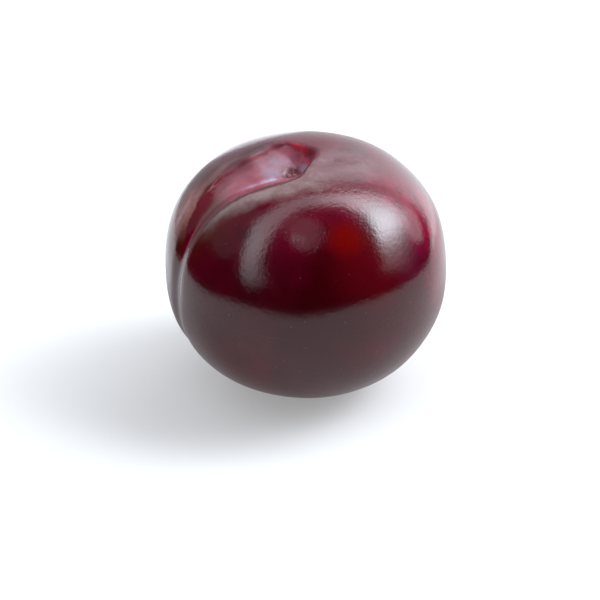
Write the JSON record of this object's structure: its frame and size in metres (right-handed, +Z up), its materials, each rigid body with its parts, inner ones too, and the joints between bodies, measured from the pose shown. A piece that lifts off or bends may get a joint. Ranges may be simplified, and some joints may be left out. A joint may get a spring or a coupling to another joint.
{
  "type": "plum",
  "caption": "Whole round black plum with a deep stem hollow and a seam groove, standing on a small flat spot at its blossom end.",
  "frame": {"origin": "on the surface that the fruit stands on, under the middle of its outline", "axes": "+Z up the stem axis, from the blossom end to the stem hollow; the seam is on the -X side; the cheeks face -Y and +Y"},
  "size_m": [0.064, 0.065, 0.0561],
  "materials": {
    "skin": "smooth waxy plum skin, purple-black with maroon and red patches, glossy, with a thin pale bloom in the hollow and seam"
  },
  "bodies": {
    "root": {"plum": "skin"}
  },
  "joints": []
}
